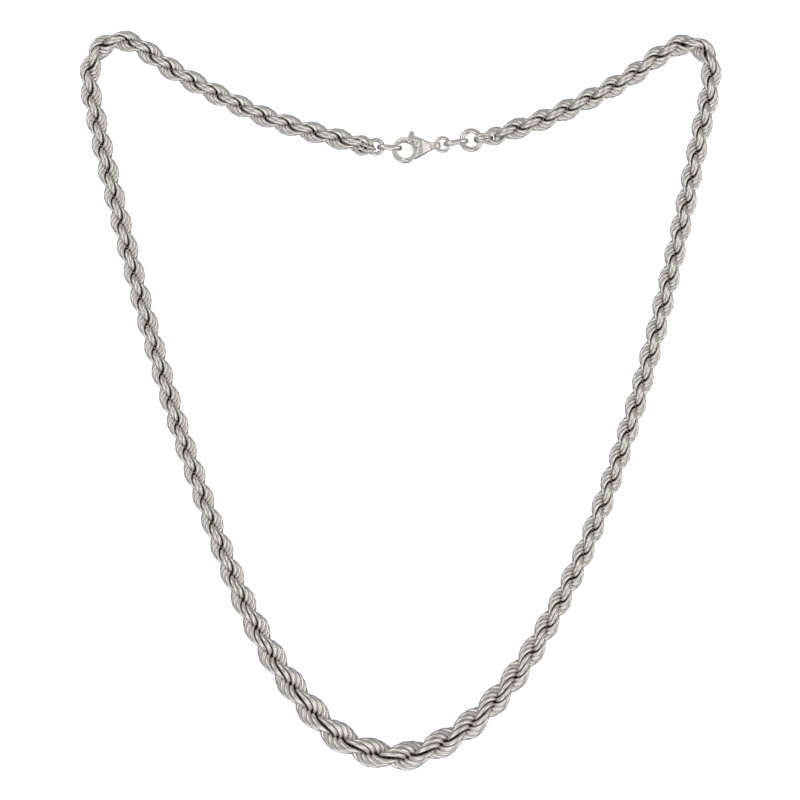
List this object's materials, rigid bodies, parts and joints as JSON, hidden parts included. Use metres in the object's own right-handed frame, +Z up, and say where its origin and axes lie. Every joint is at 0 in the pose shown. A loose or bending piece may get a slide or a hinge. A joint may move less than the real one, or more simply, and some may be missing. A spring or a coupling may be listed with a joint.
{
  "type": "chain necklace",
  "caption": "Silver-coloured graduated rope-chain necklace with a left-hand twist, closed by a sprung lobster clasp through jump rings and oval connector links.",
  "frame": {"origin": "below the middle of the loop, on the surface that the necklace lies on", "axes": "+Y from the front of the necklace to its clasp, +Z up, out of the surface; +X points from the clasp's hook to its tail"},
  "size_m": [0.1436, 0.1654, 0.0067],
  "materials": {
    "rope_silver": "polished silver, lightly darkened in the crevices between links",
    "clasp_silver": "cast and tumbled silver, satin polish",
    "ring_silver": "drawn silver wire, polished",
    "spring_steel": "bright spring strip"
  },
  "bodies": {
    "clasp_body": {"clasp_body": "clasp_silver", "clasp_spring": "spring_steel", "clasp_pivot_pin": "ring_silver"},
    "clasp_trigger": {"clasp_trigger": "clasp_silver"},
    "tail_jump_ring": {"tail_jump_ring": "ring_silver"},
    "tail_connector_link": {"tail_connector_link": "ring_silver"},
    "large_end_ring": {"large_end_ring": "ring_silver"},
    "rope_end_link_right": {"rope_end_link_right": "ring_silver"},
    "rope_section_01": {"rope_section_01": "rope_silver"},
    "rope_section_02": {"rope_section_02": "rope_silver"},
    "rope_section_03": {"rope_section_03": "rope_silver"},
    "rope_section_04": {"rope_section_04": "rope_silver"},
    "rope_section_05": {"rope_section_05": "rope_silver"},
    "rope_section_06": {"rope_section_06": "rope_silver"},
    "rope_section_07": {"rope_section_07": "rope_silver"},
    "rope_section_08": {"rope_section_08": "rope_silver"},
    "rope_section_09": {"rope_section_09": "rope_silver"},
    "rope_section_10": {"rope_section_10": "rope_silver"},
    "rope_section_11": {"rope_section_11": "rope_silver"},
    "rope_section_12": {"rope_section_12": "rope_silver"},
    "rope_section_13": {"rope_section_13": "rope_silver"},
    "rope_section_14": {"rope_section_14": "rope_silver"},
    "rope_section_15": {"rope_section_15": "rope_silver"},
    "rope_section_16": {"rope_section_16": "rope_silver"},
    "rope_section_17": {"rope_section_17": "rope_silver"},
    "rope_section_18": {"rope_section_18": "rope_silver"},
    "rope_section_19": {"rope_section_19": "rope_silver"},
    "rope_section_20": {"rope_section_20": "rope_silver"},
    "rope_section_21": {"rope_section_21": "rope_silver"},
    "rope_section_22": {"rope_section_22": "rope_silver"},
    "rope_section_23": {"rope_section_23": "rope_silver"},
    "rope_section_24": {"rope_section_24": "rope_silver"},
    "rope_section_25": {"rope_section_25": "rope_silver"},
    "rope_section_26": {"rope_section_26": "rope_silver"},
    "rope_section_27": {"rope_section_27": "rope_silver"},
    "rope_section_28": {"rope_section_28": "rope_silver"},
    "rope_section_29": {"rope_section_29": "rope_silver"},
    "rope_section_30": {"rope_section_30": "rope_silver"},
    "rope_section_31": {"rope_section_31": "rope_silver"},
    "rope_section_32": {"rope_section_32": "rope_silver"},
    "rope_section_33": {"rope_section_33": "rope_silver"},
    "rope_section_34": {"rope_section_34": "rope_silver"},
    "rope_section_35": {"rope_section_35": "rope_silver"},
    "rope_section_36": {"rope_section_36": "rope_silver"},
    "rope_section_37": {"rope_section_37": "rope_silver"},
    "rope_section_38": {"rope_section_38": "rope_silver"},
    "rope_section_39": {"rope_section_39": "rope_silver"},
    "rope_end_link_left": {"rope_end_link_left": "ring_silver"},
    "hook_connector_link": {"hook_connector_link": "ring_silver"}
  },
  "joints": [
    {"name": "trigger_pivot", "type": "hinge", "parent": "clasp_body", "child": "clasp_trigger", "pos_m": [0.00353, 0.05748, 0.0018], "axis": [0, 0, -1], "range_deg": [0, 22], "stiffness_Nm_per_rad": 0.001, "springref_deg": -20.05},
    {"name": "tail_ring_turn", "type": "hinge", "parent": "clasp_body", "child": "tail_jump_ring", "pos_m": [0.00785, 0.05712, 0.0018], "axis": [-0.9983, -0.0588, 0], "range_deg": [-15, 15]},
    {"name": "tail_link_turn", "type": "hinge", "parent": "tail_jump_ring", "child": "tail_connector_link", "pos_m": [0.01082, 0.05757, 0.0018], "axis": [0.9967, 0.0811, 0], "range_deg": [-15, 15]},
    {"name": "large_ring_turn", "type": "hinge", "parent": "tail_connector_link", "child": "large_end_ring", "pos_m": [0.01367, 0.058, 0.0018], "axis": [-0.9956, -0.0942, 0], "range_deg": [-15, 15]},
    {"name": "right_end_link_turn", "type": "hinge", "parent": "large_end_ring", "child": "rope_end_link_right", "pos_m": [0.01787, 0.05863, 0.0018], "axis": [0.9943, 0.1064, 0], "range_deg": [-15, 15]},
    {"name": "rope_start_turn", "type": "hinge", "parent": "rope_end_link_right", "child": "rope_section_01", "pos_m": [0.02, 0.05896, 0.0018], "axis": [-0.9939, -0.1107, 0], "range_deg": [-10, 10]},
    {"name": "rope_bend_02", "type": "hinge", "parent": "rope_section_01", "child": "rope_section_02", "pos_m": [0.03453, 0.06394, 0.00238], "axis": [0.9795, 0.2009, 0.0158], "range_deg": [-10, 10]},
    {"name": "rope_bend_03", "type": "hinge", "parent": "rope_section_02", "child": "rope_section_03", "pos_m": [0.04509, 0.06896, 0.00238], "axis": [-0.9662, -0.2576, -0.0121], "range_deg": [-10, 10]},
    {"name": "rope_bend_04", "type": "hinge", "parent": "rope_section_03", "child": "rope_section_04", "pos_m": [0.05502, 0.07511, 0.00238], "axis": [0.95, 0.3122, 0.0098], "range_deg": [-10, 10]},
    {"name": "rope_bend_05", "type": "hinge", "parent": "rope_section_04", "child": "rope_section_05", "pos_m": [0.06539, 0.07973, 0.00238], "axis": [-0.9448, -0.3277, -0.0082], "range_deg": [-10, 10]},
    {"name": "rope_bend_06", "type": "hinge", "parent": "rope_section_05", "child": "rope_section_06", "pos_m": [0.06921, 0.06986, 0.00238], "axis": [0.9827, 0.185, 0.0081], "range_deg": [-20, 20]},
    {"name": "rope_bend_07", "type": "hinge", "parent": "rope_section_06", "child": "rope_section_07", "pos_m": [0.06677, 0.05843, 0.00238], "axis": [-0.9996, -0.0271, -0.0085], "range_deg": [-20, 20]},
    {"name": "rope_bend_08", "type": "hinge", "parent": "rope_section_07", "child": "rope_section_08", "pos_m": [0.06442, 0.04697, 0.00238], "axis": [0.9895, -0.1445, 0.0087], "range_deg": [-20, 20]},
    {"name": "rope_bend_09", "type": "hinge", "parent": "rope_section_08", "child": "rope_section_09", "pos_m": [0.06196, 0.03553, 0.00238], "axis": [-0.9489, 0.3153, -0.0087], "range_deg": [-20, 20]},
    {"name": "rope_bend_10", "type": "hinge", "parent": "rope_section_09", "child": "rope_section_10", "pos_m": [0.05931, 0.02413, 0.00238], "axis": [0.8819, -0.4714, 0.0084], "range_deg": [-20, 20]},
    {"name": "rope_bend_11", "type": "hinge", "parent": "rope_section_10", "child": "rope_section_11", "pos_m": [0.05647, 0.01279, 0.00238], "axis": [-0.7973, 0.6036, -0.008], "range_deg": [-20, 20]},
    {"name": "rope_bend_12", "type": "hinge", "parent": "rope_section_11", "child": "rope_section_12", "pos_m": [0.05333, 0.00152, 0.00238], "axis": [0.7048, -0.7094, 0.0075], "range_deg": [-20, 20]},
    {"name": "rope_bend_13", "type": "hinge", "parent": "rope_section_12", "child": "rope_section_13", "pos_m": [0.0499, -0.00967, 0.00238], "axis": [-0.6121, 0.7908, -0.0069], "range_deg": [-16, 16]},
    {"name": "rope_bend_14", "type": "hinge", "parent": "rope_section_13", "child": "rope_section_14", "pos_m": [0.04611, -0.02073, 0.00238], "axis": [0.5233, -0.8521, 0.0064], "range_deg": [-16, 16]},
    {"name": "rope_bend_15", "type": "hinge", "parent": "rope_section_14", "child": "rope_section_15", "pos_m": [0.04195, -0.03166, 0.00238], "axis": [-0.4407, 0.8976, -0.0059], "range_deg": [-16, 16]},
    {"name": "rope_bend_16", "type": "hinge", "parent": "rope_section_15", "child": "rope_section_16", "pos_m": [0.03698, -0.04241, 0.00246], "axis": [0.3612, -0.9325, 0.0062], "range_deg": [-16, 16]},
    {"name": "rope_bend_17", "type": "hinge", "parent": "rope_section_16", "child": "rope_section_17", "pos_m": [0.03104, -0.0534, 0.00264], "axis": [-0.2827, 0.9592, -0.0074], "range_deg": [-16, 16]},
    {"name": "rope_bend_18", "type": "hinge", "parent": "rope_section_17", "child": "rope_section_18", "pos_m": [0.02328, -0.06458, 0.00291], "axis": [0.1994, -0.9799, 0.009], "range_deg": [-16, 16]},
    {"name": "rope_bend_19", "type": "hinge", "parent": "rope_section_18", "child": "rope_section_19", "pos_m": [0.01237, -0.0748, 0.00319], "axis": [-0.1041, 0.9945, -0.0105], "range_deg": [-20, 20]},
    {"name": "rope_bend_20", "type": "hinge", "parent": "rope_section_19", "child": "rope_section_20", "pos_m": [-0.00271, -0.07953, 0.00334], "axis": [-0.0098, -0.9999, 0.0113], "range_deg": [-20, 20]},
    {"name": "rope_bend_21", "type": "hinge", "parent": "rope_section_20", "child": "rope_section_21", "pos_m": [-0.01712, -0.07238, 0.00329], "axis": [0.1212, 0.9926, -0.0114], "range_deg": [-16, 16]},
    {"name": "rope_bend_22", "type": "hinge", "parent": "rope_section_21", "child": "rope_section_22", "pos_m": [-0.02687, -0.06018, 0.00305], "axis": [-0.2134, -0.9769, 0.0105], "range_deg": [-16, 16]},
    {"name": "rope_bend_23", "type": "hinge", "parent": "rope_section_22", "child": "rope_section_23", "pos_m": [-0.03386, -0.04771, 0.00277], "axis": [0.2974, 0.9547, -0.0089], "range_deg": [-16, 16]},
    {"name": "rope_bend_24", "type": "hinge", "parent": "rope_section_23", "child": "rope_section_24", "pos_m": [-0.03901, -0.03577, 0.00254], "axis": [-0.3774, -0.926, 0.0074], "range_deg": [-16, 16]},
    {"name": "rope_bend_25", "type": "hinge", "parent": "rope_section_24", "child": "rope_section_25", "pos_m": [-0.04329, -0.02445, 0.00241], "axis": [0.4594, 0.8882, -0.0066], "range_deg": [-16, 16]},
    {"name": "rope_bend_26", "type": "hinge", "parent": "rope_section_25", "child": "rope_section_26", "pos_m": [-0.04722, -0.0134, 0.00238], "axis": [-0.548, -0.8365, 0.0069], "range_deg": [-16, 16]},
    {"name": "rope_bend_27", "type": "hinge", "parent": "rope_section_26", "child": "rope_section_27", "pos_m": [-0.0509, -0.0023, 0.00238], "axis": [0.6437, 0.7653, -0.0075], "range_deg": [-16, 16]},
    {"name": "rope_bend_28", "type": "hinge", "parent": "rope_section_27", "child": "rope_section_28", "pos_m": [-0.05427, 0.0089, 0.00238], "axis": [-0.7428, -0.6694, 0.0081], "range_deg": [-20, 20]},
    {"name": "rope_bend_29", "type": "hinge", "parent": "rope_section_28", "child": "rope_section_29", "pos_m": [-0.05748, 0.02015, 0.00238], "axis": [0.8387, 0.5445, -0.0087], "range_deg": [-20, 20]},
    {"name": "rope_bend_30", "type": "hinge", "parent": "rope_section_29", "child": "rope_section_30", "pos_m": [-0.06049, 0.03146, 0.00238], "axis": [-0.9203, -0.391, 0.009], "range_deg": [-20, 20]},
    {"name": "rope_bend_31", "type": "hinge", "parent": "rope_section_30", "child": "rope_section_31", "pos_m": [-0.0634, 0.04279, 0.00238], "axis": [0.9761, 0.217, -0.0091], "range_deg": [-20, 20]},
    {"name": "rope_bend_32", "type": "hinge", "parent": "rope_section_31", "child": "rope_section_32", "pos_m": [-0.06622, 0.05414, 0.00238], "axis": [-0.9993, -0.0375, 0.0089], "range_deg": [-20, 20]},
    {"name": "rope_bend_33", "type": "hinge", "parent": "rope_section_32", "child": "rope_section_33", "pos_m": [-0.06871, 0.06557, 0.00238], "axis": [0.9912, -0.1324, -0.0085], "range_deg": [-20, 20]},
    {"name": "rope_bend_34", "type": "hinge", "parent": "rope_section_33", "child": "rope_section_34", "pos_m": [-0.0685, 0.07697, 0.00238], "axis": [-0.9568, 0.2908, 0.0083], "range_deg": [-20, 20]},
    {"name": "rope_bend_35", "type": "hinge", "parent": "rope_section_34", "child": "rope_section_35", "pos_m": [-0.0585, 0.07924, 0.00238], "axis": [0.9295, -0.3687, -0.0094], "range_deg": [-10, 10]},
    {"name": "rope_bend_36", "type": "hinge", "parent": "rope_section_35", "child": "rope_section_36", "pos_m": [-0.04885, 0.07264, 0.00238], "axis": [-0.9472, 0.3205, 0.0116], "range_deg": [-10, 10]},
    {"name": "rope_bend_37", "type": "hinge", "parent": "rope_section_36", "child": "rope_section_37", "pos_m": [-0.03853, 0.06714, 0.00238], "axis": [0.9618, -0.2733, -0.015], "range_deg": [-10, 10]},
    {"name": "rope_bend_38", "type": "hinge", "parent": "rope_section_37", "child": "rope_section_38", "pos_m": [-0.0278, 0.0625, 0.00238], "axis": [-0.9756, 0.2187, 0.0214], "range_deg": [-10, 10]},
    {"name": "rope_bend_39", "type": "hinge", "parent": "rope_section_38", "child": "rope_section_39", "pos_m": [-0.01657, 0.05921, 0.00238], "axis": [0.9846, -0.1705, -0.0376], "range_deg": [-10, 10]},
    {"name": "left_end_link_turn", "type": "hinge", "parent": "rope_section_39", "child": "rope_end_link_left", "pos_m": [-0.00736, 0.05688, 0.0018], "axis": [-0.9987, 0.0506, 0], "range_deg": [-15, 15]},
    {"name": "hook_link_turn", "type": "hinge", "parent": "rope_end_link_left", "child": "hook_connector_link", "pos_m": [-0.00401, 0.05671, 0.0018], "axis": [0.9987, -0.0506, 0], "range_deg": [-15, 15]}
  ]
}
